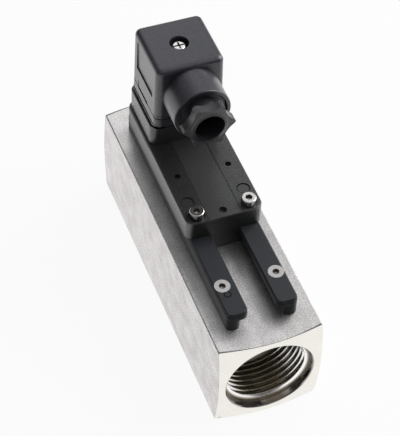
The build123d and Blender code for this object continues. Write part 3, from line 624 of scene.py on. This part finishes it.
def port_thread(name, facing, start_angle):
    """Wind a rounded pipe thread into a port. Facing is -1 at the inlet and 1 at the outlet."""
    piece = ridge_outline(name, thread_depth * mm)
    length = (port_thread_start - port_thread_end) * mm
    wind(piece, length / (thread_pitch * mm), length, thread_steps_per_turn)
    # Both ends of the thread run out into the wall over part of a turn
    wall = (port_wall + thread_in_wall) * mm
    for point in piece.data.vertices:
        radius = math.hypot(point.co.x, point.co.y)
        from_start = point.co.z / (thread_pitch * mm)
        from_end = (length - point.co.z) / (thread_pitch * mm)
        share = min(from_start / thread_lead_in, from_end / thread_lead_out)
        kept = wall - (wall - radius) * min(1, max(0, share))
        point.co.x *= kept / radius
        point.co.y *= kept / radius
    close_ends(0.002 * mm)
    place = Matrix.Translation((0, facing * port_thread_start * mm, bore_height * mm))
    turn_in = Matrix.Rotation(math.radians(90 * facing), 4, "X")
    settle(
        piece, place @ turn_in @ Matrix.Rotation(start_angle, 4, "Z"), finishes["body_metal"])
    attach(piece, "meter_body")


port_thread("inlet_thread", facing=-1, start_angle=math.radians(200))
port_thread("outlet_thread", facing=1, start_angle=math.radians(20))


# Knurled heads of the clamp screws

def knurl(screw, body):
    """Model one upright ridge on a screw's head, with its edges broken, and copy it all round."""
    low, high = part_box(screw)
    middle = (low + high) / 2
    head_radius = (high.x - low.x) / 2
    height = high.z - (knurl_drop + knurl_length / 2) * mm
    deselect()
    bpy.ops.mesh.primitive_cylinder_add(
        vertices=3, radius=knurl_size * mm, depth=knurl_length * mm,
        location=(middle.x + head_radius - knurl_size / 2 * mm, middle.y, height),
        rotation=(0, 0, -math.pi / 2))
    piece = bpy.context.active_object
    piece.name = screw + "_knurl"
    bpy.ops.object.transform_apply(location=True, rotation=True, scale=True)
    edit_all()
    bpy.ops.mesh.bevel(offset=knurl_size / 5 * mm, segments=1, affect="EDGES")
    bpy.ops.mesh.select_all(action="SELECT")
    copies = knurl_ridges - 1
    bpy.ops.mesh.spin(
        steps=copies, dupli=True, angle=2 * math.pi * copies / knurl_ridges, center=middle,
        axis=(0, 0, 1))
    bpy.ops.mesh.select_all(action="SELECT")
    bpy.ops.mesh.normals_make_consistent(inside=False)
    leave_edit()
    piece.data.materials.append(own_finishes[screw])
    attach(piece, body)


knurl("clamp_screw_left", "left_screw")
knurl("clamp_screw_right", "right_screw")


# Return spring, which on the real switch shortens as the float lifts

def return_coil():
    """Wind the spring with closed end turns, in the place of its plain solid."""
    wire = spring_wire * mm
    front, back = (corner.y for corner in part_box("return_spring"))
    length = back - front
    span = length - 2 * wire
    deselect()
    bpy.ops.mesh.primitive_circle_add(
        vertices=12, radius=wire, location=(spring_radius * mm, 0, 0),
        rotation=(math.pi / 2, 0, 0))
    piece = bpy.context.active_object
    piece.name = "return_coil"
    bpy.ops.object.transform_apply(location=True, rotation=True, scale=False)
    wind(piece, spring_turns, span, coil_steps_per_turn)
    close_ends(0.001 * mm)
    # The first and last turns lie against their neighbours, and the rest share what is left
    pitch = span / spring_turns
    closed = closed_turn_wires * wire
    free = (span - 2 * closed) / (spring_turns - 2)
    for point in piece.data.vertices:
        turn = (math.atan2(point.co.y, point.co.x) / (2 * math.pi)) % 1
        wound = round(point.co.z / pitch - turn) + turn
        wound = min(max(wound, 0), spring_turns)
        if wound < 1:
            moved = wound * closed
        elif wound > spring_turns - 1:
            moved = span - (spring_turns - wound) * closed
        else:
            moved = closed + (wound - 1) * free
        point.co.z += moved - wound * pitch
    place = Matrix.Translation((0, back - wire, bore_height * mm))
    settle(piece, place @ Matrix.Rotation(math.pi / 2, 4, "X"), finishes["spring_steel"])
    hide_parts("return_spring")
    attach(piece, "meter_body")
    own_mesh(piece)


return_coil()


# Floor, sky and lamps

def floor_white():
    """White paper that keeps a soft shadow, and looks plain white to the camera and in gloss."""
    f = Finish("floor_white")
    # The share that glows white. The rest stays paper, and takes the shadow
    glow_share = 0.93
    camera_ray = f.node("LightPath", out="Is Camera Ray")
    glossy_ray = f.node("LightPath", out="Is Glossy Ray")
    transmission_ray = f.node("LightPath", out="Is Transmission Ray")
    seen = camera_ray + glossy_ray + transmission_ray
    fibre = f.noise(f.place(), 0.05)
    paper = f.node("BsdfDiffuse", None, {"Color": f.colours(fibre, grey(0.80), grey(0.82))})
    glow = f.node("Emission", None, {"Color": (1, 1, 1, 1), "Strength": 1.0})
    both = f.node("MixShader", None, {0: seen * glow_share, 1: paper, 2: glow})
    f.node("OutputMaterial", None, {"Surface": both})
    return f.material


deselect()
bpy.ops.mesh.primitive_plane_add(size=6, location=(0, 0, -0.0001))
floor = bpy.context.active_object
floor.name = "floor"
floor.data.materials.append(floor_white())


class Sky(Finish):
    """The world's nodes."""

    def __init__(self):
        world = bpy.data.worlds.new("studio")
        world.use_nodes = True
        bpy.context.scene.world = world
        self.tree = world.node_tree
        self.tree.nodes.clear()


def studio_sky():
    """Dim round the horizon, and brighter overhead."""
    f = Sky()
    height = f.split(f.node("TexCoord", out="Generated"))[2]
    level = f.colours(height.between(0.2, 0.75), grey(0.06, 0.02), grey(0.38, -0.02))
    light = f.node("Background", None, {"Color": level, "Strength": 1.0})
    f.node("OutputWorld", None, {"Surface": light})


studio_sky()


object_middle = Vector((0, 0, 0.04))


def lamp(name, place, size, power):
    """A square soft lamp that faces the middle of the object."""
    light = bpy.data.lights.new(name, "AREA")
    light.size = size
    light.energy = power
    made = bpy.data.objects.new(name, light)
    bpy.context.collection.objects.link(made)
    made.location = place
    aim = object_middle - Vector(place)
    made.rotation_euler = aim.to_track_quat("-Z", "Y").to_euler()


lamp("key_lamp", place=(0.75, 0.08, 0.58), size=0.8, power=8.8)
lamp("back_lamp", place=(0.1, 0.55, 0.45), size=0.35, power=0.27)

bpy.context.scene.view_settings.view_transform = "Standard"
